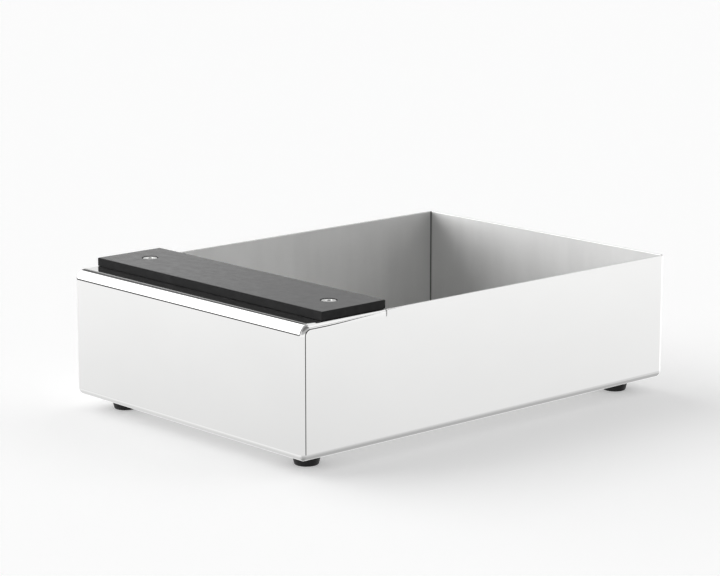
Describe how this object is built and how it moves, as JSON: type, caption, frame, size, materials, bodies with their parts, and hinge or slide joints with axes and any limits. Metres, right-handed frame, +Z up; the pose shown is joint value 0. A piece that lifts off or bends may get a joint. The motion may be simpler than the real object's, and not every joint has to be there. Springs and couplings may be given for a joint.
{
  "type": "espresso knock box",
  "caption": "Low open-topped steel box with a folded front shelf that carries a flat black rubber knock bar, standing on rubber feet.",
  "frame": {"origin": "centre of the footprint, on the ground under the feet", "axes": "+X to the right seen from the front, +Y from the shelf to the back, +Z up"},
  "size_m": [0.2, 0.283, 0.0867],
  "materials": {
    "polished_steel": "mirror-polished stainless steel outside, fine brushed inside",
    "bar_rubber": "smooth satin black rubber sheet",
    "foot_rubber": "matt black rubber",
    "fastener_steel": "bright turned stainless steel"
  },
  "bodies": {
    "root": {"box_shell": "polished_steel", "knock_bar": "bar_rubber", "bar_screw_left": "fastener_steel", "bar_washer_left": "fastener_steel", "bar_nut_left": "fastener_steel", "bar_screw_right": "fastener_steel", "bar_washer_right": "fastener_steel", "bar_nut_right": "fastener_steel", "foot_front_left": "foot_rubber", "foot_washer_front_left": "fastener_steel", "foot_screw_front_left": "fastener_steel", "foot_nut_front_left": "fastener_steel", "foot_front_right": "foot_rubber", "foot_washer_front_right": "fastener_steel", "foot_screw_front_right": "fastener_steel", "foot_nut_front_right": "fastener_steel", "foot_back_left": "foot_rubber", "foot_washer_back_left": "fastener_steel", "foot_screw_back_left": "fastener_steel", "foot_nut_back_left": "fastener_steel", "foot_back_right": "foot_rubber", "foot_washer_back_right": "fastener_steel", "foot_screw_back_right": "fastener_steel", "foot_nut_back_right": "fastener_steel"}
  },
  "joints": []
}
